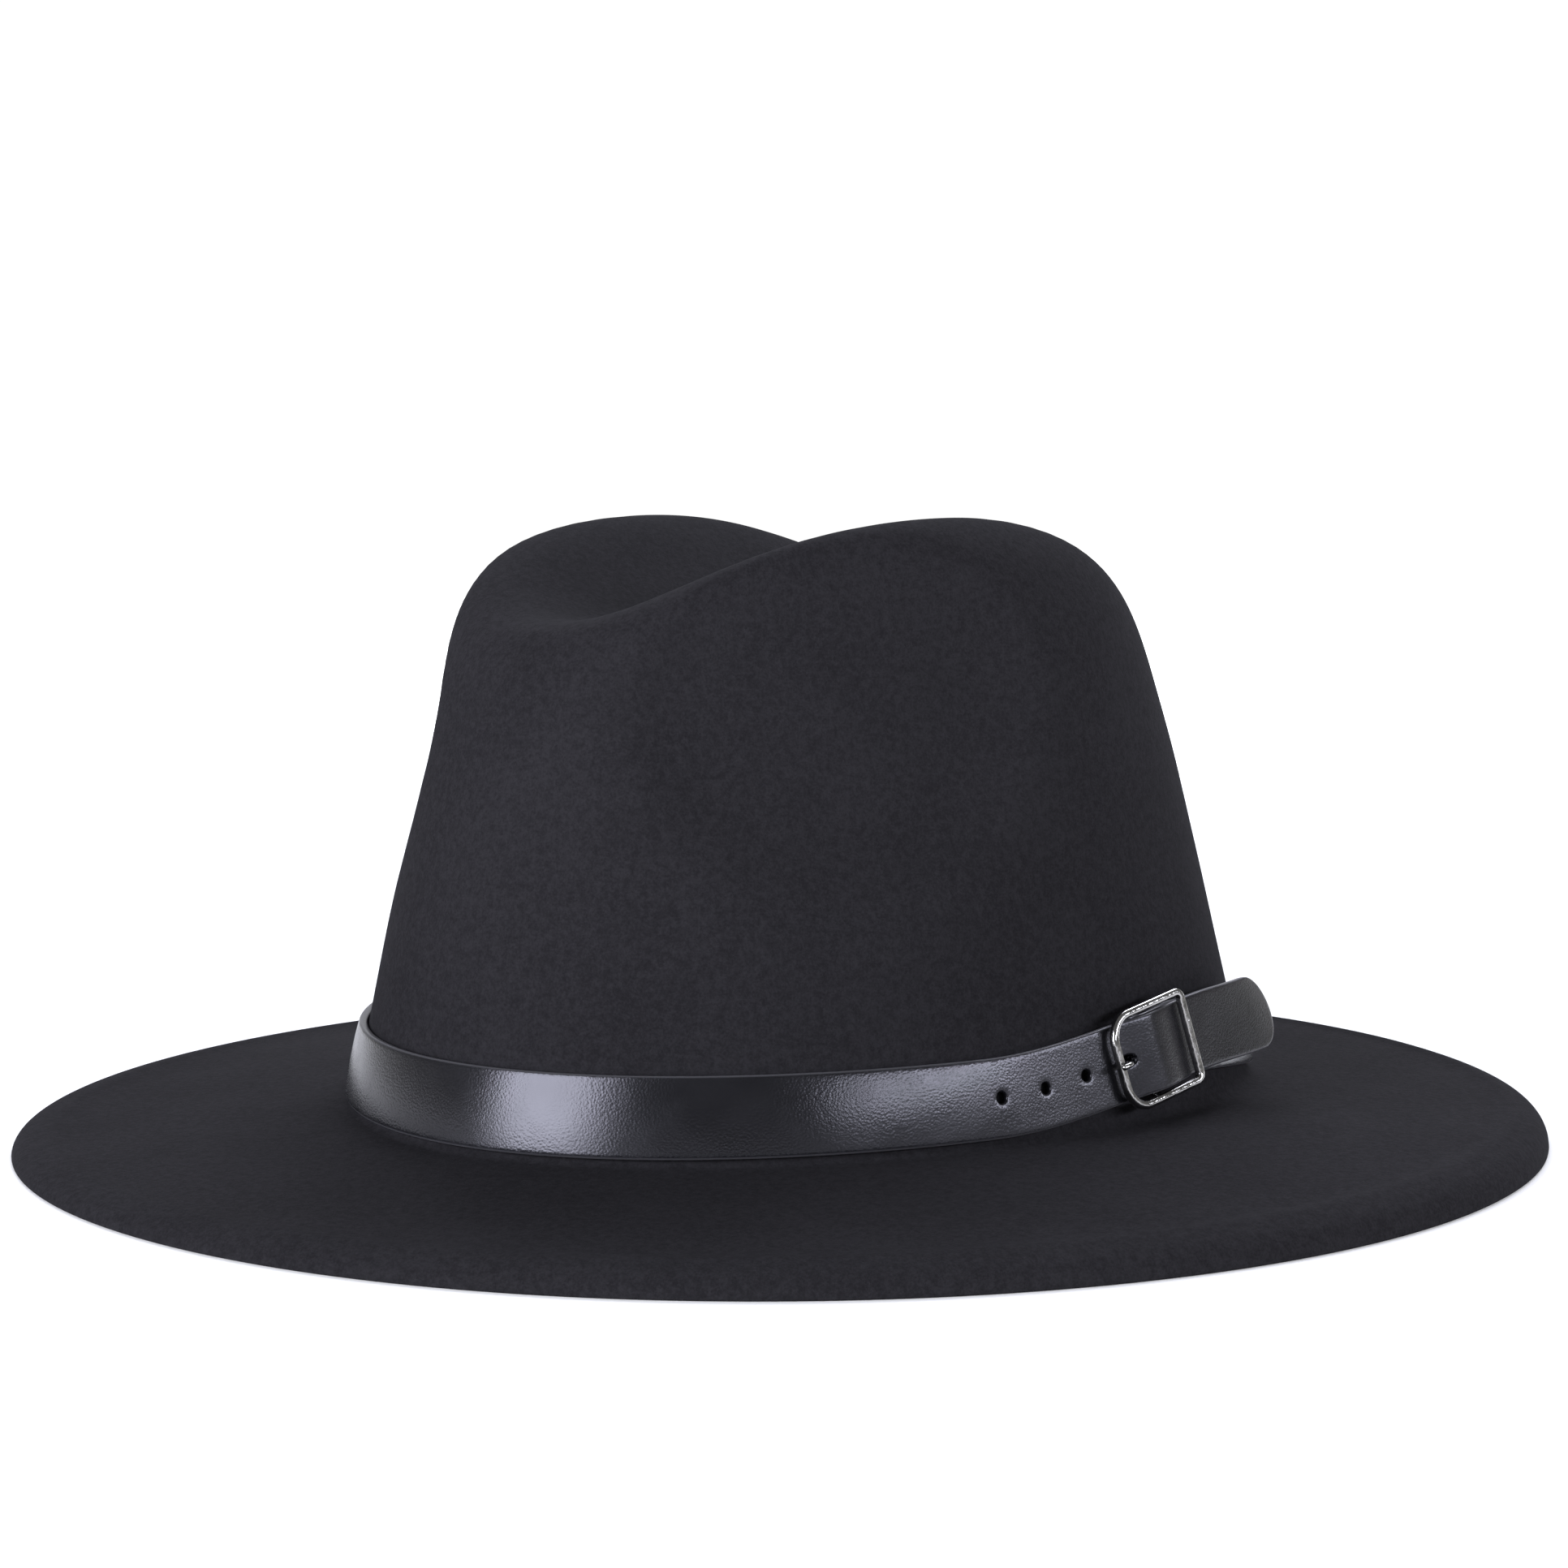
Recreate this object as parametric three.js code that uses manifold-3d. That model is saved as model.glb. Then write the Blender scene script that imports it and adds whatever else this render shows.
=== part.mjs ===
// A wide-brimmed fedora: a crown and brim blocked from one felt, a leather strap and a centre-bar buckle.
// Millimetres, +Z up. The origin is on the table under the middle of the brim, and the front is -Y.
import * as THREE from 'three';
import { mergeVertices } from 'three/addons/utils/BufferGeometryUtils.js';
import Module from 'manifold-3d';

const wasm = await Module();
wasm.setup();

const DEGREE = Math.PI / 180;

// Crown, outside the felt. Heights on the crown are counted from the band line.
const crownHalfLength = 102.7; // front to back, at the band line
const crownHalfWidth = 85.1; // side to side, at the band line
const crownBack = 6.5; // the crown stands this far behind the middle of the brim
const crownLean = -0.03; // shift towards the front for each millimetre of height
const bandLine = 9.8; // height of the band line over the table
const bandSideRise = 1.2; // the band line is this much higher at the sides and lower at front and back
const bandRiseReach = 58; // height at which the rise of the sides has died out
const wallSlant = 12.4 * DEGREE; // the wall leans in by this
const wallHeight = 81.5; // where the wall starts to round over
const crownHeight = 123.2; // top of the crown before it is dented
const tipPower = 3.75; // 2 would be an elliptic dome, more is squarer
const feltThickness = 2;

// Centre dent: an oval bowl, narrow at the front.
const dentDepth = 26.5;
const dentMiddle = -12.6; // from the crown's middle, towards the front
const dentFrontReach = 83.4;
const dentBackReach = 87.2;
const dentHalfWidth = 48.6; // at its middle
const dentFrontHalfWidth = 31.8;
const dentBackHalfWidth = 49.8;
const pressLow = 60.8; // the dent and the arch only press the felt above this height
const pressHigh = 101.8; // and press it in full from here up
const archMiddle = -3; // highest place of the two ridges
const archLength = 60; // the ridges have fallen by the next two sizes at this distance from there
const archFrontDrop = 1.2;
const archBackDrop = 4.7;

// Front pinches: angle from the front, depth, height of the middle, and reach to each side, up and down.
const pinches = [
  { angle: 56 * DEGREE, depth: 7.6, height: 85, beside: 42, above: 32, below: 44 }, // wearer's left
  { angle: -48 * DEGREE, depth: 5, height: 74.7, beside: 33, above: 36, below: 36 }, // and right
];
const pinchPower = 1.7; // 1 would be a round bowl, more has a flatter floor and a steeper rim
const pinchRim = 0.1; // 0 would leave a sharp edge round the pinch
const pinchNear = 0.6; // share of the crown's radius within which a pinch fades out

// Brim, turned down at its edge.
const brimHalfLength = 163;
const brimHalfWidth = 154.7;
const brimHeight = 8.4; // where it meets the crown
const breakRadius = 2.5; // between crown and brim
const edgeTurnWidth = 6.1; // width of the turned-down edge
const edgeTurnHeight = 5;
const edgeSway = 0.3; // share by which the turned edge is higher on one side and lower on the other
const edgeSwayAngle = 125 * DEGREE; // the high side, from the front

// Strap. Distances along it are from the buckle's bar, towards the back of the hat.
const strapWidth = 15.5;
const strapThickness = 1.8;
const foldThickness = 1.1; // the fold round the bar is pared down
const strapGap = 0.5; // between the felt and the strap
const layerGap = 0.3; // between layers, and between leather and metal
const foldLength = 24;
const overBarReach = 10; // a layer needs this length to come down by a step
const tipLength = 48;
const tipTurn = 87 * DEGREE; // the rounded end of the tip is cut off square here
const tipSpring = 3.6; // the stiff tip stands off by this much more at its end
const tipTwist = 2; // and its lower edge by this much more again
const springPower = 1.5;
const frontLift = 0.9; // the strap has left the felt by this under the frame's front side
const strapLift = 6.6; // the strap rides up by this near its tip
const liftStart = 70 * DEGREE; // from the front, where it starts to ride up
const liftFull = 108 * DEGREE;
const fallStart = 92 * DEGREE; // the lap under the tip comes down again from here
const fallEnd = 150 * DEGREE;
const holeRadius = 1.2;
const holePitch = 10.7;
const firstHole = -17.8;
const holeCount = 3;

// Buckle, at the wearer's left side.
const buckleAngle = 93.6 * DEGREE; // from the front
const frameHalfLength = 10.85; // to the middle of the wire
const frameHalfHeight = 9.1;
const wireSize = 1.7;
const wireChamfer = 0.5;
const frontCornerRadius = 5;
const cornerReach = 3; // the round corners reach in over the strap by this
const backCornerRadius = 1.6;
const barRadius = 0.7;
const prongRadius = 0.6;
const prongRingStart = 120 * DEGREE; // where the open ring at the prong's foot starts, from the back side
const prongRingTurn = 270 * DEGREE;
const prongUnderStrap = [
  // from the bar: towards the front of the hat, and out
  { ahead: 3.2, out: -0.3 },
  { ahead: 5.2, out: -0.1 },
  { ahead: 7, out: 0.9 },
  { ahead: 8.3, out: 2.6 },
];
const prongOnFrame = [
  // from its seat on the frame's front side
  { ahead: -1.4, out: -0.4 },
  { ahead: 0, out: 0 },
  { ahead: 1.2, out: -0.05 },
];

// Facets.
const aroundSteps = 64;
const tipRings = 13;
const wallRings = 6;
const breakRings = 3;
const turnRings = 4;
const brimShares = [0.2, 0.45, 0.7, 0.88, 1]; // rings between the turned edge and the crown's foot
const foldSteps = 8;
const foldLayStep = 3; // millimetres between stations of the strap, where the fold lies flat
const nearStep = 2; // near the buckle
const farStep = 9; // round the rest of the crown
const nearReach = 40; // this far from the bar the stations stay near
const strapTipSteps = 6;
const prongSteps = 36;
const prongRingSteps = 9;
const wireSides = 10;
const holeSides = 12;
const outlineCurveSteps = 3;
const prongCurveSteps = 4;

const felt = new THREE.MeshStandardMaterial({ color: 0x2b2a2e, roughness: 0.95, metalness: 0 });
const leather = new THREE.MeshStandardMaterial({ color: 0x1b1b20, roughness: 0.38, metalness: 0 });
const metal = new THREE.MeshStandardMaterial({ color: 0xb9b7b2, roughness: 0.18, metalness: 1 });

const { lerp, smoothstep, clamp } = THREE.MathUtils;

// A ring of the crown's wall: its oval, its middle and its height.
function wallRing(height, share = 1, outside = 0) {
  const inset = height * Math.tan(wallSlant);
  return {
    halfLength: (crownHalfLength - inset + outside) * share,
    halfWidth: (crownHalfWidth - inset + outside) * share,
    middle: crownBack + crownLean * height,
    height: bandLine + height,
    bandShare: 1 - smoothstep(height, 0, bandRiseReach),
    edgeShare: 0,
  };
}

function ringPoint(ring, angle) {
  const sway = 1 + edgeSway * Math.cos(angle - edgeSwayAngle) * ring.edgeShare;
  return new THREE.Vector3(
    ring.halfWidth * Math.sin(angle),
    ring.middle - ring.halfLength * Math.cos(angle),
    ring.height * sway - bandSideRise * Math.cos(2 * angle) * ring.bandShare,
  );
}

// The felt's outer skin before it is pressed, from the brim's edge up to the top of the crown.
function feltRings() {
  const rings = [];
  const brimRing = (inside, height) => ({
    halfLength: brimHalfLength - inside,
    halfWidth: brimHalfWidth - inside,
    middle: 0,
    height,
    bandShare: 0,
    edgeShare: 1,
  });
  for (let i = 0; i <= turnRings; i += 1) {
    const turn = (i / turnRings) * Math.PI / 2;
    const inside = edgeTurnWidth * (1 - Math.cos(turn));
    rings.push(brimRing(inside, edgeTurnHeight * Math.sin(turn)));
  }
  const edge = rings.at(-1);
  const foot = wallRing(0, 1, breakRadius);
  for (const share of brimShares) {
    rings.push({
      halfLength: lerp(edge.halfLength, foot.halfLength, share),
      halfWidth: lerp(edge.halfWidth, foot.halfWidth, share),
      middle: lerp(0, crownBack, share),
      height: lerp(edgeTurnHeight, brimHeight, share),
      bandShare: share,
      edgeShare: 1 - share,
    });
  }
  const wallStart = brimHeight + breakRadius - bandLine;
  for (let i = 1; i <= breakRings; i += 1) {
    const turn = (i / breakRings) * (Math.PI / 2 - wallSlant);
    const height = wallStart - breakRadius * Math.cos(turn);
    rings.push(wallRing(height, 1, breakRadius * (1 - Math.sin(turn)) * (1 - height / wallHeight)));
  }
  const wallFoot = rings.at(-1).height - bandLine;
  for (let i = 1; i <= wallRings; i += 1) {
    rings.push(wallRing(lerp(wallFoot, wallHeight, i / wallRings)));
  }
  for (let i = 1; i <= tipRings; i += 1) {
    const turn = (i / tipRings) * Math.PI / 2;
    const size = (Math.cos(turn) ** tipPower + Math.sin(turn) ** tipPower) ** (-1 / tipPower);
    const share = i === tipRings ? 0 : Math.cos(turn) * size;
    rings.push(wallRing(lerp(wallHeight, crownHeight, Math.sin(turn) * size), share));
  }
  return rings;
}

// Presses the dent, the fall of the two ridges and the front pinches into a point of the crown.
function press(point) {
  const x = point.x;
  const y = point.y - crownBack;
  const height = point.z - bandLine;
  for (const pinch of pinches) {
    const inset = pinch.height * Math.tan(wallSlant);
    const seatX = (crownHalfWidth - inset) * Math.sin(pinch.angle);
    const seatY = -(crownHalfLength - inset) * Math.cos(pinch.angle);
    const seatRadius = Math.hypot(seatX, seatY);
    const outX = seatX / seatRadius;
    const outY = seatY / seatRadius;
    const wide = (y * outX - x * outY) / pinch.beside;
    const rise = height - pinch.height;
    const tall = rise / (rise > 0 ? pinch.above : pinch.below);
    const near = smoothstep(x * outX + y * outY, 0, pinchNear * seatRadius);
    const bowl = 1 - (wide ** 2 + tall ** 2) ** pinchPower;
    const depth = pinch.depth * (bowl + Math.hypot(bowl, pinchRim)) / 2 * near;
    point.x -= depth * outX;
    point.y -= depth * outY;
  }
  const fromDent = y - dentMiddle;
  const reach = fromDent < 0 ? dentFrontReach : dentBackReach;
  const endHalfWidth = fromDent < 0 ? dentFrontHalfWidth : dentBackHalfWidth;
  const lengthShare = clamp(Math.abs(fromDent) / reach, 0, 1);
  const halfWidth = lerp(dentHalfWidth, endHalfWidth, lengthShare ** 2);
  const widthShare = clamp(Math.abs(x) / halfWidth, 0, 1);
  const bowl = dentDepth * (1 - widthShare ** 2) ** 2 * (1 - lengthShare ** 4) ** 2;
  const fromArch = y - archMiddle;
  const arch = (fromArch < 0 ? archFrontDrop : archBackDrop) * (fromArch / archLength) ** 2;
  point.z -= (bowl + arch) * smoothstep(height, pressLow, pressHigh);
  return point;
}

function feltBody() {
  const rings = feltRings();
  const brimRings = turnRings + 1 + brimShares.length;
  const outer = rings.map((ring, row) => {
    const points = [];
    for (let step = 0; step < aroundSteps; step += 1) {
      const point = ringPoint(ring, (step / aroundSteps) * 2 * Math.PI);
      points.push(row < brimRings ? point : press(point));
    }
    return points;
  });
  const last = outer.length - 1;
  const inner = outer.map((points, row) => points.map((point, step) => {
    const next = points[(step + 1) % aroundSteps];
    const previous = points[(step + aroundSteps - 1) % aroundSteps];
    const around = next.clone().sub(previous);
    const up = outer[Math.min(row + 1, last)][step].clone().sub(outer[Math.max(row - 1, 0)][step]);
    const outward = row === last ? new THREE.Vector3(0, 0, 1) : around.cross(up).normalize();
    const inside = point.clone().addScaledVector(outward, -feltThickness);
    if (row === 0) inside.z = 0;
    return inside;
  }));
  // The turned body runs from the top of the inner skin to the edge and back up the outer skin.
  const skins = [...inner.reverse(), ...outer];
  const profile = skins.map(([first]) => new THREE.Vector2(Math.hypot(first.x, first.y), first.z));
  const geometry = new THREE.LatheGeometry(profile, aroundSteps);
  const position = geometry.attributes.position;
  for (let step = 0; step <= aroundSteps; step += 1) {
    skins.forEach((points, row) => {
      const point = points[step % aroundSteps];
      position.setXYZ(step * skins.length + row, point.x, point.y, point.z);
    });
  }
  geometry.computeVertexNormals();
  return geometry;
}

// Point at a distance outside the crown's wall.
function wallPoint(angle, height, outside) {
  const ring = wallRing(height);
  const outward = new THREE.Vector3(
    ring.halfLength * Math.sin(angle),
    -ring.halfWidth * Math.cos(angle),
    0,
  ).normalize().multiplyScalar(Math.cos(wallSlant));
  outward.z = Math.sin(wallSlant);
  return ringPoint(ring, angle).addScaledVector(outward, outside);
}

// At the buckle a distance along the strap is an arc of this radius.
const strapRadius = crownHalfLength + strapGap;
const angleOf = (distance) => buckleAngle + distance / strapRadius;

function liftAt(angle) {
  const secondLap = angle > 2 * Math.PI;
  const fromFront = secondLap ? angle - 2 * Math.PI : angle;
  const rise = smoothstep(fromFront, liftStart, liftFull);
  const fall = secondLap ? 0 : smoothstep(fromFront, fallStart, fallEnd);
  return strapLift * rise * (1 - fall);
}

// Point of the strap: angle of its middle line, distance across from that line, distance out of the felt.
function strapPoint(angle, across, outside) {
  const rise = liftAt(angle + DEGREE) - liftAt(angle - DEGREE);
  const slope = Math.atan2(rise, 2 * DEGREE * strapRadius);
  const turned = angle - across * Math.sin(slope) / strapRadius;
  const height = liftAt(angle) + (strapWidth / 2 + across * Math.cos(slope)) * Math.cos(wallSlant);
  return wallPoint(turned, height, outside);
}

// Distances of the strap's middle layer out of the felt.
const foldOut = strapGap + foldThickness / 2;
const foldRadius = barRadius + layerGap + foldThickness / 2;
const barOut = foldOut + foldRadius;
const seatOut = strapGap + strapThickness / 2;
const overFold = strapGap + foldThickness + layerGap + strapThickness / 2;
const freeOverBar = barOut + foldRadius + foldThickness / 2 + layerGap + strapThickness / 2;
const freeOverRing = overFold + strapThickness + layerGap;
const underFront = seatOut + frontLift;

// The ring lap and the free end, from the bar round the crown to the tip.
const fullTurn = 2 * Math.PI * strapRadius;
const freeLength = fullTurn + tipLength;
const course = [
  { along: 0, out: barOut + foldRadius, thick: foldThickness },
  { along: overBarReach, out: overFold, thick: strapThickness },
  { along: foldLength, out: overFold, thick: strapThickness },
  { along: foldLength + overBarReach, out: seatOut, thick: strapThickness },
  { along: fullTurn - frameHalfLength - overBarReach, out: seatOut, thick: strapThickness },
  { along: fullTurn - frameHalfLength, out: underFront, thick: strapThickness },
  { along: fullTurn, out: freeOverBar, thick: strapThickness },
  { along: fullTurn + frameHalfLength, out: freeOverRing, thick: strapThickness },
];

function courseAt(along) {
  const last = course.at(-1);
  if (along >= last.along) {
    const spring = ((along - last.along) / (freeLength - last.along)) ** springPower;
    return { out: last.out + tipSpring * spring, thick: last.thick, twist: tipTwist * spring };
  }
  const next = course.find((row) => row.along > along);
  const previous = course[course.indexOf(next) - 1];
  const share = smoothstep(along, previous.along, next.along);
  return { out: lerp(previous.out, next.out, share), thick: lerp(previous.thick, next.thick, share) };
}

function strapStations() {
  const stations = [];
  for (let along = foldLength; along > 0; along -= foldLayStep) {
    stations.push({ along, out: foldOut, thick: foldThickness, face: Math.PI });
  }
  for (let i = 0; i <= foldSteps; i += 1) {
    const turn = (i / foldSteps) * Math.PI;
    stations.push({
      along: -foldRadius * Math.sin(turn),
      out: barOut - foldRadius * Math.cos(turn),
      thick: foldThickness,
      face: Math.PI - turn,
    });
  }
  const tipRound = strapWidth / 2;
  for (let along = nearStep; along < freeLength - tipRound;) {
    stations.push({ along, ...courseAt(along) });
    const near = along < nearReach || along > fullTurn - nearReach;
    along += near ? nearStep : farStep;
  }
  for (let i = 0; i <= strapTipSteps; i += 1) {
    const turn = (i / strapTipSteps) * tipTurn;
    const along = freeLength - tipRound * (1 - Math.sin(turn));
    stations.push({ along, ...courseAt(along), width: Math.cos(turn) });
  }
  return stations;
}

// A flat strip of leather, bent along its stations.
// A station's face is how far its grain side has turned from outward, through forward, to inward.
function strapBody() {
  const stations = strapStations();
  const steps = stations.length - 1;
  const strip = new THREE.BoxGeometry(steps, 1, 1, steps, 1, 1);
  const position = strip.attributes.position;
  for (let i = 0; i < position.count; i += 1) {
    const station = stations[Math.round(position.getX(i) + steps / 2)];
    const across = -position.getZ(i) * strapWidth * (station.width ?? 1);
    const face = station.face ?? 0;
    const fromMiddle = position.getY(i) * station.thick;
    const along = station.along - fromMiddle * Math.sin(face);
    const twisted = (station.twist ?? 0) * (0.5 - across / strapWidth);
    const outside = station.out + twisted + fromMiddle * Math.cos(face);
    const point = strapPoint(angleOf(along), across, outside);
    position.setXYZ(i, point.x, point.y, point.z);
  }
  strip.computeVertexNormals();
  return strip;
}

// Booleans: a geometry as a solid, and a solid as a geometry.
function toSolid(geometry, matrix = new THREE.Matrix4()) {
  const bare = geometry.clone().applyMatrix4(matrix);
  bare.deleteAttribute('normal');
  bare.deleteAttribute('uv');
  const merged = mergeVertices(bare);
  return new wasm.Manifold(new wasm.Mesh({
    numProp: 3,
    vertProperties: new Float32Array(merged.attributes.position.array),
    triVerts: new Uint32Array(merged.index.array),
  }));
}

function toGeometry(solid) {
  const mesh = solid.getMesh();
  const geometry = new THREE.BufferGeometry();
  geometry.setAttribute('position', new THREE.BufferAttribute(mesh.vertProperties, 3));
  geometry.setIndex(new THREE.BufferAttribute(mesh.triVerts, 1));
  geometry.computeVertexNormals();
  return geometry;
}

// The buckle lies on the strap's free end at two lines, under its front and its back side.
// Its group has x towards the back of the hat, y up the wall and z out of the felt.
function placeBuckle() {
  const bearing = (side) => {
    const highest = courseAt(fullTurn + side * (frameHalfLength - cornerReach));
    const lift = highest.out + highest.thick / 2 + layerGap + wireSize / 2;
    return strapPoint(angleOf(side * frameHalfLength), 0, lift);
  };
  const front = bearing(-1);
  const back = bearing(1);
  const lower = strapPoint(buckleAngle, -strapWidth / 2, barOut);
  const y = strapPoint(buckleAngle, strapWidth / 2, barOut).sub(lower).normalize();
  const z = back.clone().sub(front).cross(y).normalize();
  const x = y.clone().cross(z);
  const buckle = new THREE.Group();
  buckle.position.copy(front.clone().lerp(back, 0.5));
  buckle.quaternion.setFromRotationMatrix(new THREE.Matrix4().makeBasis(x, y, z));
  buckle.updateMatrixWorld();
  return buckle;
}

function frameOutline(grow, Outline) {
  const length = frameHalfLength + grow;
  const height = frameHalfHeight + grow;
  const front = frontCornerRadius + grow;
  const back = backCornerRadius + grow;
  const outline = new Outline();
  outline.absarc(front - length, front - height, front, Math.PI, 1.5 * Math.PI);
  outline.absarc(length - back, back - height, back, 1.5 * Math.PI, 2 * Math.PI);
  outline.absarc(length - back, height - back, back, 0, 0.5 * Math.PI);
  outline.absarc(front - length, height - front, front, 0.5 * Math.PI, Math.PI);
  outline.closePath();
  return outline;
}

function frameBody(bar) {
  const outline = frameOutline(wireSize / 2, THREE.Shape);
  outline.holes.push(frameOutline(-wireSize / 2, THREE.Path));
  const rim = new THREE.ExtrudeGeometry(outline, {
    depth: wireSize - 2 * wireChamfer,
    curveSegments: outlineCurveSteps,
    bevelEnabled: true,
    bevelSegments: 1,
    bevelThickness: wireChamfer,
    bevelSize: wireChamfer,
    bevelOffset: -wireChamfer,
  });
  rim.translate(0, 0, wireChamfer - wireSize / 2);
  const barLength = 2 * (frameHalfHeight + barRadius);
  const rod = new THREE.CylinderGeometry(barRadius, barRadius, barLength, wireSides);
  rod.translate(bar.x, 0, bar.z);
  let solid = toSolid(rim).add(toSolid(rod));
  for (const side of [-1, 1]) {
    const post = new THREE.CylinderGeometry(barRadius, barRadius, -bar.z, wireSides);
    post.rotateX(Math.PI / 2);
    post.translate(bar.x, side * frameHalfHeight, bar.z / 2);
    solid = solid.add(toSolid(post));
  }
  return toGeometry(solid);
}

// The prong: an open ring round the bar, then under the strap, up through it and onto the front side.
// Grown, it is the room that it needs, and its ring is longer by that too.
function prongCurve(bar, grow) {
  const ringRadius = barRadius + layerGap + prongRadius;
  const longer = 2 * grow / ringRadius;
  const seat = wireSize / 2 + layerGap + prongRadius;
  const points = [];
  for (let i = 0; i <= prongRingSteps; i += 1) {
    const turn = prongRingStart + longer - (prongRingTurn + longer) * i / prongRingSteps;
    const fromBar = new THREE.Vector3(ringRadius * Math.cos(turn), 0, ringRadius * Math.sin(turn));
    points.push(fromBar.add(new THREE.Vector3(bar.x, 0, bar.z)));
  }
  for (const { ahead, out } of prongUnderStrap) {
    points.push(new THREE.Vector3(bar.x - ahead, 0, bar.z + out));
  }
  for (const { ahead, out } of prongOnFrame) {
    points.push(new THREE.Vector3(-frameHalfLength - ahead, 0, seat + out));
  }
  return new THREE.CatmullRomCurve3(points);
}

function prongBody(bar, grow = 0) {
  const section = new THREE.Shape();
  section.absarc(0, 0, prongRadius + grow, 0, 2 * Math.PI);
  return new THREE.ExtrudeGeometry(section, {
    steps: prongSteps,
    curveSegments: prongCurveSteps,
    bevelEnabled: false,
    extrudePath: prongCurve(bar, grow),
  });
}

// The strap with its punched holes, and with the room that the prong takes in it.
function punchedStrap(buckle, bar) {
  let solid = toSolid(strapBody());
  const punchLength = 4 * strapThickness;
  for (let i = 0; i < holeCount; i += 1) {
    const angle = angleOf(firstHole - i * holePitch);
    const centre = strapPoint(angle, 0, 0);
    const direction = strapPoint(angle, 0, 1).sub(centre).normalize();
    const punch = new THREE.CylinderGeometry(holeRadius, holeRadius, punchLength, holeSides);
    const turn = new THREE.Quaternion().setFromUnitVectors(new THREE.Vector3(0, 1, 0), direction);
    const place = new THREE.Matrix4().compose(centre, turn, new THREE.Vector3(1, 1, 1));
    solid = solid.subtract(toSolid(punch, place));
  }
  return toGeometry(solid.subtract(toSolid(prongBody(bar, layerGap), buckle.matrixWorld)));
}

const group = new THREE.Group();
const addPiece = (name, geometry, material, parent = group) => {
  const mesh = new THREE.Mesh(geometry, material);
  mesh.name = name;
  parent.add(mesh);
};

const buckle = placeBuckle();
const bar = buckle.worldToLocal(strapPoint(buckleAngle, 0, barOut));
group.add(buckle);
addPiece('felt_crown_and_brim', feltBody(), felt);
addPiece('strap', punchedStrap(buckle, bar), leather);
addPiece('buckle_frame', frameBody(bar), metal, buckle);
addPiece('buckle_prong', prongBody(bar), metal, buckle);

export default group;
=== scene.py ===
# %% [markdown]
# # A wide-brimmed fedora
# A real fedora starts as one cone of wool felt. It is steamed, pulled over a wooden block and pressed
# into its crown, its dent and its brim. A leather strap then goes once round the crown and closes in a
# small metal buckle. This lesson makes the four pieces in that order and dresses them with materials.
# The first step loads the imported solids, so that every piece lands exactly where they are.

# %% Load the frame
import math
from collections import namedtuple

import bmesh
import bpy
from mathutils import Matrix, Vector, noise


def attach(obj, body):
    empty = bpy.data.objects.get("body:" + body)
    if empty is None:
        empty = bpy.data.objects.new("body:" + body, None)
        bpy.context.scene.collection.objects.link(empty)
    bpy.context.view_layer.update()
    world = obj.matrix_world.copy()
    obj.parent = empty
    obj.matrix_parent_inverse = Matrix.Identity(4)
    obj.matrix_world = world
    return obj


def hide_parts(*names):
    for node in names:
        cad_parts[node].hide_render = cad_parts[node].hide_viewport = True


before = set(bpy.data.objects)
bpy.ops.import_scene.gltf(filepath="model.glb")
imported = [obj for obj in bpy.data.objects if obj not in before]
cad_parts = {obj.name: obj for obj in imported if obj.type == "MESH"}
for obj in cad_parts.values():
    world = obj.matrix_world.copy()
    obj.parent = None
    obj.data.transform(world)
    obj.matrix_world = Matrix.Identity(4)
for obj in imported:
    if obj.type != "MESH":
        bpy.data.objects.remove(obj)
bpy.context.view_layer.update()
scene = bpy.context.scene
print("solids:", ", ".join(sorted(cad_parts)))

# %% [markdown]
# ## Sizes
# Pieces are shaped in millimetres, the unit that hatters use, and brought to metres when they are done.
# Heights on the crown are counted from the band line, where crown and brim meet. The front of the hat
# is towards -Y, and angles round the crown start there and go to the wearer's left, which is +X.

# %% The hat's sizes
MM = 0.001
DEGREE = math.pi / 180

CROWN_HALF_LENGTH = 102.7  # front to back, at the band line
CROWN_HALF_WIDTH = 85.1
CROWN_BACK = 6.5  # the crown stands this far behind the brim's middle
CROWN_LEAN = -0.03  # shift to the front for each millimetre of height
BAND_LINE = 9.8
BAND_SIDE_RISE = 1.2  # the band line is higher at the sides, and lower at front and back, by this
BAND_RISE_REACH = 58  # height above which the crown no longer follows that
WALL_SLANT = 12.4 * DEGREE
WALL_HEIGHT = 81.5  # above it the wall rounds over into the tip
CROWN_HEIGHT = 123.2  # before it is dented
TIP_POWER = 3.75  # 2 would be an ellipse, more is squarer
FELT_THICKNESS = 2

BRIM_HALF_LENGTH = 163
BRIM_HALF_WIDTH = 154.7
BRIM_HEIGHT = 8.4
BREAK_RADIUS = 2.5  # between crown and brim
EDGE_TURN_WIDTH = 6.1
EDGE_TURN_HEIGHT = 5
EDGE_FOOT = 0.4  # the edge stands upright on the table for this much
EDGE_SWAY = 0.3  # share by which the turned edge is higher on one side and lower on the other
EDGE_SWAY_ANGLE = 125 * DEGREE  # the high side
WELT_HEIGHT = 0.45  # a soft ridge where the turned edge was pressed
WELT_INSIDE = 7.4  # from the brim's outline
WELT_WIDTH = 1.7

print("the brim is", 2 * BRIM_HALF_LENGTH, "by", 2 * BRIM_HALF_WIDTH, "mm")
print("the crown is", 2 * CROWN_HALF_LENGTH, "by", 2 * CROWN_HALF_WIDTH, "mm at the band line")

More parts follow.
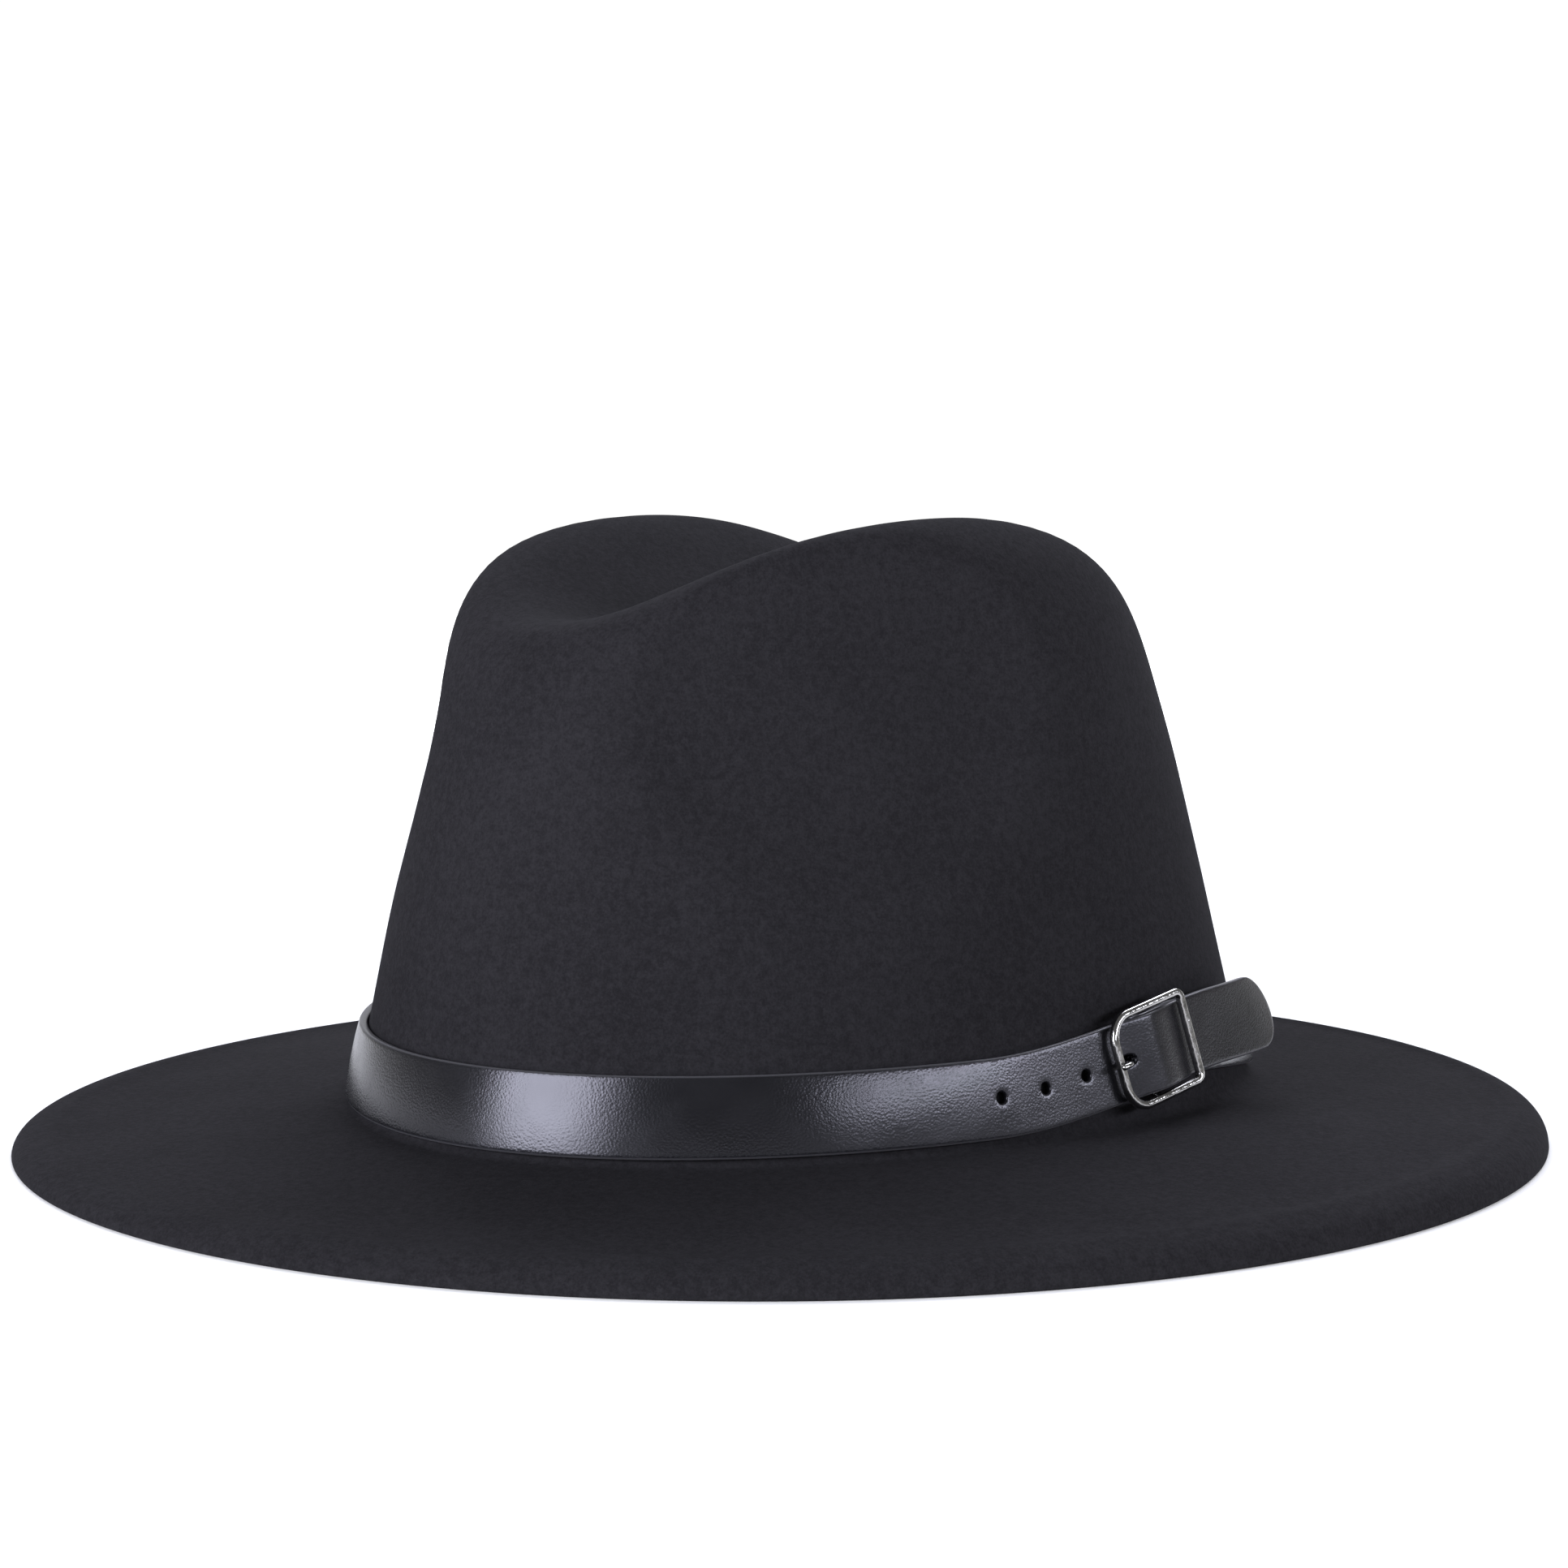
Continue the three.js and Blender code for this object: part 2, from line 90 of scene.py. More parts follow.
# %% The sizes of the dent and the pinches
DENT_DEPTH = 26.5
DENT_MIDDLE = -12.6  # from the crown's middle, towards the front
DENT_FRONT_REACH = 83.4
DENT_BACK_REACH = 87.2
DENT_HALF_WIDTH = 48.6
DENT_FRONT_HALF_WIDTH = 31.8
DENT_BACK_HALF_WIDTH = 49.8
PRESS_LOW = 60.8  # the dent leaves everything below this height as it is
PRESS_HIGH = 101.8  # and presses everything above this one to its full depth
ARCH_MIDDLE = -3  # the ridges beside the dent are highest here
ARCH_LENGTH = 60  # this far from there they have dropped by the next two values
ARCH_FRONT_DROP = 1.2
ARCH_BACK_DROP = 4.7

Pinch = namedtuple("Pinch", "angle depth height half_wide above below")
PINCHES = (
    Pinch(56 * DEGREE, 7.6, 85, 42, 32, 44),  # at the wearer's left
    Pinch(-48 * DEGREE, 5, 74.7, 33, 36, 36),  # and right
)
PINCH_POWER = 1.7  # 1 would be a round bowl, more has a flatter floor and a steeper rim
PINCH_RIM = 0.1  # 0 would leave a sharp edge round the pinch
PINCH_NEAR = 0.6  # share of the way from the crown's middle to the pinch, where it is at full depth

print("dent", DENT_DEPTH, "mm deep, pinches", [pinch.depth for pinch in PINCHES], "mm")

# %% [markdown]
# ## Camera
# The camera stands where the photographer's did: a good two thirds of a metre away, a little above the
# brim, half way between the front of the hat and its left side. A long lens keeps the brim flat.

# %% Set up the camera
CAMERA_AZIMUTH = 44.02 * DEGREE  # from the front, towards the wearer's left
CAMERA_ELEVATION = 6.81 * DEGREE
CAMERA_ROLL = -0.32 * DEGREE
CAMERA_DISTANCE = 696.4
CAMERA_TARGET = Vector((0, CROWN_BACK, 48.5))
TARGET_ACROSS = 1000.98  # where the target lies in the picture, in pixels
TARGET_DOWN = 1096.59
PICTURE_SIZE = 1932
FOCAL_PIXELS = 4042
SENSOR_WIDTH = 36


def aim_camera():
    """Places the camera round the target, then turns it until the target lies at its pixel."""
    level = math.cos(CAMERA_ELEVATION)
    back = Vector((
        math.sin(CAMERA_AZIMUTH) * level,
        -math.cos(CAMERA_AZIMUTH) * level,
        math.sin(CAMERA_ELEVATION),
    ))
    right = Vector((math.cos(CAMERA_AZIMUTH), math.sin(CAMERA_AZIMUTH), 0))
    up = back.cross(right)
    turn_across = math.atan2(TARGET_ACROSS - PICTURE_SIZE / 2, FOCAL_PIXELS)
    turn_down = math.atan2(TARGET_DOWN - PICTURE_SIZE / 2, FOCAL_PIXELS)
    aim = Matrix((right, up, back)).transposed().to_4x4()
    aim = aim @ Matrix.Rotation(turn_across, 4, "Y") @ Matrix.Rotation(turn_down, 4, "X")
    aim = aim @ Matrix.Rotation(-CAMERA_ROLL, 4, "Z")
    eye = CAMERA_TARGET + back * CAMERA_DISTANCE
    return Matrix.Translation(eye * MM) @ aim


camera_data = bpy.data.cameras.new("photo_camera")
camera_data.sensor_width = SENSOR_WIDTH
camera_data.lens = SENSOR_WIDTH * FOCAL_PIXELS / PICTURE_SIZE
camera = bpy.data.objects.new("photo_camera", camera_data)
camera.matrix_world = aim_camera()
scene.collection.objects.link(camera)
scene.camera = camera
print("the lens has", round(camera_data.lens, 1), "mm")
print("the camera stands", round(camera.matrix_world.translation.z, 3), "m over the table")

# %% [markdown]
# ## Small tools
# A few helpers are used by every piece. Three work on numbers: they keep a value within bounds, or blend
# evenly or softly between two values. One finishes a mesh: it welds its seams, turns its faces outwards,
# brings it to metres and hands it to the frame. The last one rounds a piece by subdividing it.

# %% Helpers for shapes
WELD = 0.002  # vertices closer than this become one


def clamp(value, low=0.0, high=1.0):
    return max(low, min(high, value))


def lerp(start, end, share):
    return start + (end - start) * share


def ease(value, low, high):
    """Goes from 0 at low to 1 at high, with a soft start and end."""
    share = clamp((value - low) / (high - low))
    return share * share * (3 - 2 * share)


def finish_piece(name, bm, stands_for):
    bmesh.ops.remove_doubles(bm, verts=bm.verts, dist=WELD)
    bmesh.ops.recalc_face_normals(bm, faces=bm.faces)
    bmesh.ops.scale(bm, vec=Vector((MM, MM, MM)), verts=bm.verts)
    for face in bm.faces:
        face.smooth = True
    mesh = bpy.data.meshes.new(name)
    bm.to_mesh(mesh)
    bm.free()
    piece = bpy.data.objects.new(name, mesh)
    scene.collection.objects.link(piece)
    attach(piece, "root")
    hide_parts(stands_for)
    size = [round(side / MM, 1) for side in piece.dimensions]
    print(name, "has", len(mesh.polygons), "faces and measures", size, "mm")
    return piece


def add_subdivision(piece, levels):
    smoother = piece.modifiers.new("subdivision", "SUBSURF")
    smoother.levels = levels
    smoother.render_levels = levels


# %% [markdown]
# ## The felt
# A hatter's block is an oval that grows smaller towards the top. So the felt is described by rings: each
# has a half length, a half width, a middle and a height, and shares that say how much it follows the
# band line's rise and the edge's sway. A profile is drawn through the rings and spun round, as on a
# lathe, and then each vertex moves to its ring's oval. The spin copies every vertex's own data, so a
# number on the profile's vertices still tells afterwards to which ring a vertex belongs.
#
# The brim's edge is turned down by hand, so the turn is a little deeper at one side than at the other.
# The press leaves a soft ridge, the welt, where the turn begins.

# %% Rings of the block
Ring = namedtuple("Ring", "half_length half_width middle height band_share edge_share")

TURN_RINGS = 8
BREAK_RINGS = 4
WALL_RINGS = 16
TIP_RINGS = 25
BRIM_RINGS = 15
BRIM_CROWDING = 1.7  # rings lie closer near the brim's edge


def wall_ring(height, share=1.0, outside=0.0):
    inset = height * math.tan(WALL_SLANT)
    return Ring(
        (CROWN_HALF_LENGTH - inset + outside) * share,
        (CROWN_HALF_WIDTH - inset + outside) * share,
        CROWN_BACK + CROWN_LEAN * height,
        BAND_LINE + height,
        1 - ease(height, 0, BAND_RISE_REACH),
        0,
    )


def ring_point(ring, angle):
    rise = BAND_SIDE_RISE * math.cos(2 * angle) * ring.band_share
    sway = 1 + EDGE_SWAY * math.cos(angle - EDGE_SWAY_ANGLE) * ring.edge_share
    return Vector((
        ring.half_width * math.sin(angle),
        ring.middle - ring.half_length * math.cos(angle),
        ring.height * sway - rise,
    ))


def welt(inside):
    return WELT_HEIGHT * math.exp(-((inside - WELT_INSIDE) / WELT_WIDTH) ** 2)


def felt_rings():
    """Rings from the brim's edge up to the top of the crown, and how many of them are the brim's."""
    rings = [Ring(BRIM_HALF_LENGTH, BRIM_HALF_WIDTH, 0, 0, 0, 1)]
    for step in range(TURN_RINGS + 1):
        turn = step / TURN_RINGS * math.pi / 2
        inside = EDGE_TURN_WIDTH * (1 - math.cos(turn))
        height = lerp(EDGE_FOOT, EDGE_TURN_HEIGHT, math.sin(turn)) + welt(inside)
        rings.append(Ring(BRIM_HALF_LENGTH - inside, BRIM_HALF_WIDTH - inside, 0, height, 0, 1))
    edge = rings[-1]
    foot = wall_ring(0, 1, BREAK_RADIUS)
    for step in range(1, BRIM_RINGS + 1):
        share = (step / BRIM_RINGS) ** BRIM_CROWDING
        half_length = lerp(edge.half_length, foot.half_length, share)
        rings.append(Ring(
            half_length,
            lerp(edge.half_width, foot.half_width, share),
            lerp(0, CROWN_BACK, share),
            lerp(EDGE_TURN_HEIGHT, BRIM_HEIGHT, share) + welt(BRIM_HALF_LENGTH - half_length),
            share,
            1 - share,
        ))
    brim_count = len(rings)
    wall_start = BRIM_HEIGHT + BREAK_RADIUS - BAND_LINE
    for step in range(1, BREAK_RINGS + 1):
        turn = step / BREAK_RINGS * (math.pi / 2 - WALL_SLANT)
        height = wall_start - BREAK_RADIUS * math.cos(turn)
        outside = BREAK_RADIUS * (1 - math.sin(turn)) * (1 - height / WALL_HEIGHT)
        rings.append(wall_ring(height, 1, outside))
    wall_foot = rings[-1].height - BAND_LINE
    for step in range(1, WALL_RINGS + 1):
        rings.append(wall_ring(lerp(wall_foot, WALL_HEIGHT, step / WALL_RINGS)))
    for step in range(1, TIP_RINGS + 1):
        turn = step / TIP_RINGS * math.pi / 2
        size = (math.cos(turn) ** TIP_POWER + math.sin(turn) ** TIP_POWER) ** (-1 / TIP_POWER)
        share = 0 if step == TIP_RINGS else math.cos(turn) * size
        rings.append(wall_ring(lerp(WALL_HEIGHT, CROWN_HEIGHT, math.sin(turn) * size), share))
    return rings, brim_count


block_rings, brim_ring_count = felt_rings()
print("the block has", len(block_rings), "rings,", brim_ring_count, "of them in the brim")

# %% [markdown]
# The dent is pressed into the top like a bowl, deepest in its middle, and the two ridges beside it fall
# a little to the front and the back. Two pinches are pressed into the wall beside the dent's front end,
# where a hand takes the hat.

# %% Press the dent and the pinches
def press_pinches(point):
    x = point.x
    y = point.y - CROWN_BACK
    height = point.z - BAND_LINE
    for pinch in PINCHES:
        inset = pinch.height * math.tan(WALL_SLANT)
        seat_x = (CROWN_HALF_WIDTH - inset) * math.sin(pinch.angle)
        seat_y = -(CROWN_HALF_LENGTH - inset) * math.cos(pinch.angle)
        seat_radius = math.hypot(seat_x, seat_y)
        out_x = seat_x / seat_radius
        out_y = seat_y / seat_radius
        wide = (y * out_x - x * out_y) / pinch.half_wide
        rise = height - pinch.height
        tall = rise / (pinch.above if rise > 0 else pinch.below)
        near = ease(x * out_x + y * out_y, 0, PINCH_NEAR * seat_radius)
        bowl = 1 - (wide ** 2 + tall ** 2) ** PINCH_POWER
        depth = pinch.depth * (bowl + math.hypot(bowl, PINCH_RIM)) / 2 * near
        point.x -= depth * out_x
        point.y -= depth * out_y


def press_dent(point, y, height):
    from_dent = y - DENT_MIDDLE
    in_front = from_dent < 0
    reach = DENT_FRONT_REACH if in_front else DENT_BACK_REACH
    end_half_width = DENT_FRONT_HALF_WIDTH if in_front else DENT_BACK_HALF_WIDTH
    length_share = clamp(abs(from_dent) / reach)
    half_width = lerp(DENT_HALF_WIDTH, end_half_width, length_share ** 2)
    width_share = clamp(abs(point.x) / half_width)
    bowl = DENT_DEPTH * (1 - width_share ** 2) ** 2 * (1 - length_share ** 4) ** 2
    from_arch = y - ARCH_MIDDLE
    drop = ARCH_FRONT_DROP if from_arch < 0 else ARCH_BACK_DROP
    arch = drop * (from_arch / ARCH_LENGTH) ** 2
    point.z -= (bowl + arch) * ease(height, PRESS_LOW, PRESS_HIGH)


def press(point):
    y = point.y - CROWN_BACK
    height = point.z - BAND_LINE
    x = point.x
    press_pinches(point)
    pinched_x = point.x
    point.x = x
    press_dent(point, y, height)
    point.x = pinched_x
    return point


top = press(ring_point(block_rings[-1], 0))
print("the dent's floor is", round(top.z, 1), "mm over the table")

# %% [markdown]
# Felt that was blocked by hand is never quite even. Soft noise moves the crown in and out and the brim
# up and down by a fraction of a millimetre. It fades out near the strap and at the brim's edge, which
# lies on the table.

# %% Unevenness of hand-blocked felt
CROWN_WAVE = 0.55
CROWN_WAVE_SIZE = 38
BRIM_WAVE = 0.35
BRIM_WAVE_SIZE = 60
STRAP_TOP = 36  # height over the table that the strap keeps below
WAVE_RISE = 20  # the crown's waves reach their full size this far above the strap
BRIM_INSIDE = (0.68, 0.8)  # the brim's waves rise and fall between these shares of its radius
BRIM_OUTSIDE = (0.86, 0.96)


def uneven(point):
    radius = math.hypot(point.x / BRIM_HALF_WIDTH, point.y / BRIM_HALF_LENGTH)
    crown_share = ease(point.z, STRAP_TOP, STRAP_TOP + WAVE_RISE)
    push = noise.noise(point / CROWN_WAVE_SIZE) * CROWN_WAVE * crown_share
    outward = Vector((point.x, point.y - CROWN_BACK, 0))
    if outward.length > 1:
        point += outward.normalized() * push
    brim_share = ease(radius, *BRIM_INSIDE) * (1 - ease(radius, *BRIM_OUTSIDE))
    point.z += noise.noise(point / BRIM_WAVE_SIZE) * BRIM_WAVE * brim_share
    return point


print("waves of", CROWN_WAVE, "mm in the crown and", BRIM_WAVE, "mm in the brim")

# %% Spin the profile and block it
AROUND_STEPS = 128


def block_felt():
    bm = bmesh.new()
    ring_number = bm.verts.layers.int.new("ring")
    tip = None
    for number, ring in enumerate(block_rings):
        if tip is None:
            tip = bmesh.ops.create_vert(bm, co=Vector((0, 0, 0)))["vert"][0]
        else:
            tip = bmesh.ops.extrude_vert_indiv(bm, verts=[tip])["verts"][0]
        tip.co = Vector((0, -ring.half_length, ring.height))
        tip[ring_number] = number
    bmesh.ops.spin(
        bm,
        geom=bm.verts[:] + bm.edges[:],
        cent=Vector((0, 0, 0)),
        axis=Vector((0, 0, 1)),
        dvec=Vector((0, 0, 0)),
        angle=2 * math.pi,
        steps=AROUND_STEPS,
        use_merge=True,
        use_normal_flip=False,
        use_duplicate=False,
    )
    bmesh.ops.remove_doubles(bm, verts=bm.verts, dist=WELD)
    for vertex in bm.verts:
        number = vertex[ring_number]
        angle = math.atan2(vertex.co.x, -vertex.co.y)
        point = ring_point(block_rings[number], angle)
        if number >= brim_ring_count:
            point = press(point)
        vertex.co = uneven(point)
    return bm


felt_hat = finish_piece("blocked_felt", block_felt(), "felt_crown_and_brim")
wall = felt_hat.modifiers.new("felt_thickness", "SOLIDIFY")
wall.thickness = FELT_THICKNESS * MM
wall.offset = -1
wall.use_even_offset = True
add_subdivision(felt_hat, 1)

# %% [markdown]
# ## The strap's place
# The strap lies on the crown's wall just above the brim and rides up near the buckle. Its course is a
# short table: how far its middle layer stands out of the felt at a few places along it. One end is
# folded round the buckle's bar, the other goes over the bar and ends in a stiff tip that stands off.
#
# Distances along the strap are counted on a circle as wide as the crown is long. They are true at the
# hat's sides, where the buckle and the holes are, and too long at the front and the back.

# %% The strap's sizes
STRAP_WIDTH = 15.5
STRAP_THICKNESS = 1.8
FOLD_THICKNESS = 1.1  # the folded end is pared thinner
STRAP_GAP = 0.5  # between the felt and the strap
LAYER_GAP = 0.3  # between pieces that lie on each other
FOLD_LENGTH = 24
OVER_BAR_REACH = 10  # the strap rises or falls by a layer over this length
TIP_LENGTH = 48  # from the bar
TIP_SPRING = 3.6  # the tip's end stands off by this
TIP_TWIST = 2  # and its lower edge by this much more
SPRING_POWER = 1.5
FRONT_LIFT = 0.9  # the strap stands further out under the frame's front side
STRAP_LIFT = 6.6  # the strap climbs the wall by this
LIFT_START = 70 * DEGREE  # between these angles round the crown
LIFT_FULL = 108 * DEGREE
FALL_START = 92 * DEGREE  # the lap under the tip comes down again from here
FALL_END = 150 * DEGREE
HOLE_RADIUS = 1.2
HOLE_PITCH = 10.7
FIRST_HOLE = -17.8  # the first free hole, from the bar
BUCKLE_ANGLE = 93.6 * DEGREE
FRAME_HALF_LENGTH = 10.85
FRAME_HALF_HEIGHT = 9.1
WIRE_SIZE = 1.7
FRONT_CORNER_RADIUS = 5
CORNER_REACH = 3  # the frame is seated on the strap this far inside its front and back sides
BACK_CORNER_RADIUS = 1.6
BAR_RADIUS = 0.7
PRONG_RADIUS = 0.6

STRAP_RADIUS = CROWN_HALF_LENGTH + STRAP_GAP
FULL_TURN = 2 * math.pi * STRAP_RADIUS
FREE_LENGTH = FULL_TURN + TIP_LENGTH
FOLD_OUT = STRAP_GAP + FOLD_THICKNESS / 2
FOLD_RADIUS = BAR_RADIUS + LAYER_GAP + FOLD_THICKNESS / 2
BAR_OUT = FOLD_OUT + FOLD_RADIUS
SEAT_OUT = STRAP_GAP + STRAP_THICKNESS / 2
OVER_FOLD = STRAP_GAP + FOLD_THICKNESS + LAYER_GAP + STRAP_THICKNESS / 2
FREE_OVER_BAR = BAR_OUT + FOLD_RADIUS + FOLD_THICKNESS / 2 + LAYER_GAP + STRAP_THICKNESS / 2
FREE_OVER_RING = OVER_FOLD + STRAP_THICKNESS + LAYER_GAP

print("on the circle the strap is", round(FREE_LENGTH + FOLD_LENGTH), "mm long")

# %% Places on the strap
Place = namedtuple("Place", "along out thick")

course = [
    Place(0, BAR_OUT + FOLD_RADIUS, FOLD_THICKNESS),
    Place(OVER_BAR_REACH, OVER_FOLD, STRAP_THICKNESS),
    Place(FOLD_LENGTH, OVER_FOLD, STRAP_THICKNESS),
    Place(FOLD_LENGTH + OVER_BAR_REACH, SEAT_OUT, STRAP_THICKNESS),
    Place(FULL_TURN - FRAME_HALF_LENGTH - OVER_BAR_REACH, SEAT_OUT, STRAP_THICKNESS),
    Place(FULL_TURN - FRAME_HALF_LENGTH, SEAT_OUT + FRONT_LIFT, STRAP_THICKNESS),
    Place(FULL_TURN, FREE_OVER_BAR, STRAP_THICKNESS),
    Place(FULL_TURN + FRAME_HALF_LENGTH, FREE_OVER_RING, STRAP_THICKNESS),
]


def spring_at(along):
    start = course[-1].along
    return max(0, (along - start) / (FREE_LENGTH - start)) ** SPRING_POWER


def course_at(along):
    last = course[-1]
    if along >= last.along:
        return last.out + TIP_SPRING * spring_at(along), last.thick
    number = next(i for i, place in enumerate(course) if place.along > along)
    before, after = course[number - 1], course[number]
    share = ease(along, before.along, after.along)
    return lerp(before.out, after.out, share), lerp(before.thick, after.thick, share)


def lift_at(angle):
    second_lap = angle > 2 * math.pi
    from_front = angle - 2 * math.pi if second_lap else angle
    rise = ease(from_front, LIFT_START, LIFT_FULL)
    fall = 0 if second_lap else ease(from_front, FALL_START, FALL_END)
    return STRAP_LIFT * rise * (1 - fall)


def strap_point(along, across, out):
    """Point at a distance along the strap, across it from its middle line, and out of the felt."""
    angle = BUCKLE_ANGLE + along / STRAP_RADIUS
    rise = lift_at(angle + DEGREE) - lift_at(angle - DEGREE)
    slope = math.atan2(rise, 2 * DEGREE * STRAP_RADIUS)
    turned = angle - across * math.sin(slope) / STRAP_RADIUS
    height = lift_at(angle) + (STRAP_WIDTH / 2 + across * math.cos(slope)) * math.cos(WALL_SLANT)
    ring = wall_ring(height)
    level = Vector((ring.half_length * math.sin(turned), -ring.half_width * math.cos(turned), 0))
    outward = level.normalized() * math.cos(WALL_SLANT)
    outward.z = math.sin(WALL_SLANT)
    return ring_point(ring, turned) + outward * out


front_middle = strap_point((2 * math.pi - BUCKLE_ANGLE) * STRAP_RADIUS, 0, SEAT_OUT)
print("the strap's middle at the front of the hat is at", [round(c, 1) for c in front_middle])

# %% [markdown]
# ## The strap
# A leather worker cuts a strap flat, punches it, rounds its edges and bends it last, and so does this
# step. The flat strap is a grid whose rows lie an eighth of the hole spacing apart, so that a hole is
# simply the four faces round a vertex, taken out and rounded. The strap keeps its flat places as a UV
# map, so its finish can tell the edges from the middle. A strap that is pulled tight round a crown also
# bends a little across, so its edges lie closer to the felt than its middle.

# %% Cut the strap flat
COLUMNS = 12
ROWS_PER_PITCH = 8
ROW = HOLE_PITCH / ROWS_PER_PITCH
STRAP_START = -(FOLD_LENGTH + math.pi * FOLD_RADIUS)
EDGE_ROUNDING = 0.4
EDGE_SEGMENTS = 2
RIM_ANGLE = 60 * DEGREE  # edges sharper than this are rounded
PRONG_HOLE_STRETCH = 1.5
HOLE_NUMBERS = (-1, 0, 1, 2)  # the one at -1 holds the prong
HOLE_SPOTS = [FULL_TURN + FIRST_HOLE - number * HOLE_PITCH for number in HOLE_NUMBERS]


def round_tip(vertex):
    """Moves the last square of the strap into a half disc."""
    radius = STRAP_WIDTH / 2
    ahead = (vertex.co.x - (FREE_LENGTH - radius)) / radius
    if ahead <= 0:
        return
    aside = vertex.co.y / radius
    vertex.co.x = FREE_LENGTH - radius + radius * ahead * math.sqrt(1 - aside * aside / 2)
    vertex.co.y = radius * aside * math.sqrt(1 - ahead * ahead / 2)


def punch(bm, spot, stretch):
    """Takes out the faces round the vertex at the spot and rounds what is left to a hole."""
    centre = min(bm.verts, key=lambda vertex: (vertex.co - Vector((spot, 0, 0))).length)
    border = {vertex for face in centre.link_faces for vertex in face.verts} - {centre}
    for vertex in border:
        away = (vertex.co - centre.co).normalized() * HOLE_RADIUS
        vertex.co = centre.co + Vector((away.x * stretch, away.y, 0))
    bmesh.ops.delete(bm, geom=[centre], context="VERTS")


def cut_strap():
    first_row = math.ceil((STRAP_START - HOLE_SPOTS[0]) / ROW)
    last_row = math.floor((FREE_LENGTH - HOLE_SPOTS[0]) / ROW)
    rows = last_row - first_row
    bm = bmesh.new()
    bmesh.ops.create_grid(bm, x_segments=rows, y_segments=COLUMNS, size=0.5)
    for vertex in bm.verts:
        row = round((vertex.co.x + 0.5) * rows) + first_row
        vertex.co.x = HOLE_SPOTS[0] + row * ROW
        if row == first_row:
            vertex.co.x = STRAP_START
        if row == last_row:
            vertex.co.x = FREE_LENGTH
        vertex.co.y *= STRAP_WIDTH
        round_tip(vertex)
    for number, spot in enumerate(HOLE_SPOTS):
        punch(bm, spot, PRONG_HOLE_STRETCH if number == 0 else 1)
    return bm


def thicken_strap(bm):
    bmesh.ops.translate(bm, verts=bm.verts, vec=Vector((0, 0, -STRAP_THICKNESS / 2)))
    grown = bmesh.ops.extrude_face_region(bm, geom=bm.faces[:], use_keep_orig=True)
    raised = [part for part in grown["geom"] if isinstance(part, bmesh.types.BMVert)]
    bmesh.ops.translate(bm, verts=raised, vec=Vector((0, 0, STRAP_THICKNESS)))
    bmesh.ops.recalc_face_normals(bm, faces=bm.faces)
    rims = [edge for edge in bm.edges if edge.calc_face_angle(0) > RIM_ANGLE]
    rims = [edge for edge in rims if abs(edge.verts[0].co.z - edge.verts[1].co.z) < WELD]
    bmesh.ops.bevel(
        bm,
        geom=rims,
        offset=EDGE_ROUNDING,
        segments=EDGE_SEGMENTS,
        profile=0.5,
        affect="EDGES",
        material=-1,
    )


flat_strap = cut_strap()
thicken_strap(flat_strap)
print("the flat strap has", len(flat_strap.faces), "faces and", len(HOLE_SPOTS), "holes")

# %% Keep the flat places and bend the strap
EDGE_DROP = 0.35  # the edges lie closer to the felt than the middle by this
DROP_REACH = 30  # the drop grows over this length of the strap
MEASURE_STEPS = 400


def lay_out_flat(bm):
    flat_map = bm.loops.layers.uv.new("flat")
    for face in bm.faces:
        for loop in face.loops:
            loop[flat_map].uv = (loop.vert.co.x * MM, loop.vert.co.y * MM)


def edge_drop(flat):
    """The strap's edges lie a little closer to the felt than its middle, away from the buckle."""
    free = ease(flat.x, FOLD_LENGTH, FOLD_LENGTH + DROP_REACH)
    free *= 1 - ease(flat.x, FULL_TURN - FOLD_LENGTH - DROP_REACH, FULL_TURN - FOLD_LENGTH)
    return EDGE_DROP * free * (2 * flat.y / STRAP_WIDTH) ** 2


def bend_point(flat):
    """Takes a point of the flat strap to its place on the hat."""
    fold_end = -math.pi * FOLD_RADIUS
    if flat.x < fold_end:
        from_middle = flat.z / STRAP_THICKNESS * FOLD_THICKNESS
        return strap_point(fold_end - flat.x, flat.y, FOLD_OUT - from_middle)
    if flat.x < 0:
        from_middle = flat.z / STRAP_THICKNESS * FOLD_THICKNESS
        turn = (flat.x - fold_end) / FOLD_RADIUS
        radius = FOLD_RADIUS + from_middle
        return strap_point(-radius * math.sin(turn), flat.y, BAR_OUT - radius * math.cos(turn))
    out, thick = course_at(flat.x)
    twist = TIP_TWIST * spring_at(flat.x) * (0.5 - flat.y / STRAP_WIDTH)
    return strap_point(flat.x, flat.y, out + twist - edge_drop(flat) + flat.z / STRAP_THICKNESS * thick)


def middle_length():
    """Length of the strap's middle line on the hat, from the bar to the tip."""
    spots = [FREE_LENGTH * step / MEASURE_STEPS for step in range(MEASURE_STEPS + 1)]
    points = [strap_point(along, 0, course_at(along)[0]) for along in spots]
    return sum((after - before).length for before, after in zip(points, points[1:]))


lay_out_flat(flat_strap)
for vertex in flat_strap.verts:
    vertex.co = bend_point(vertex.co)
leather_strap = finish_piece("leather_strap", flat_strap, "strap")
add_subdivision(leather_strap, 1)
print("from the bar to the tip the strap is", round(middle_length()), "mm long on the hat")

# %% [markdown]
# ## The buckle
# The frame of such a buckle is bent from one wire and a bar is soldered across its middle. The same
# helper bends both: it takes a ring of edges and extrudes it from place to place along a path. The
# prong is a thinner wire, curled round the bar, that comes up through the strap and rests on the frame.
# The buckle has its own axes: x towards the back of the hat, y up the wall, z out of the felt.

# %% The buckle's place
def bearing(side):
    highest_out, thick = course_at(FULL_TURN + side * (FRAME_HALF_LENGTH - CORNER_REACH))
    out = highest_out + thick / 2 + LAYER_GAP + WIRE_SIZE / 2
    return strap_point(FULL_TURN + side * FRAME_HALF_LENGTH, 0, out)


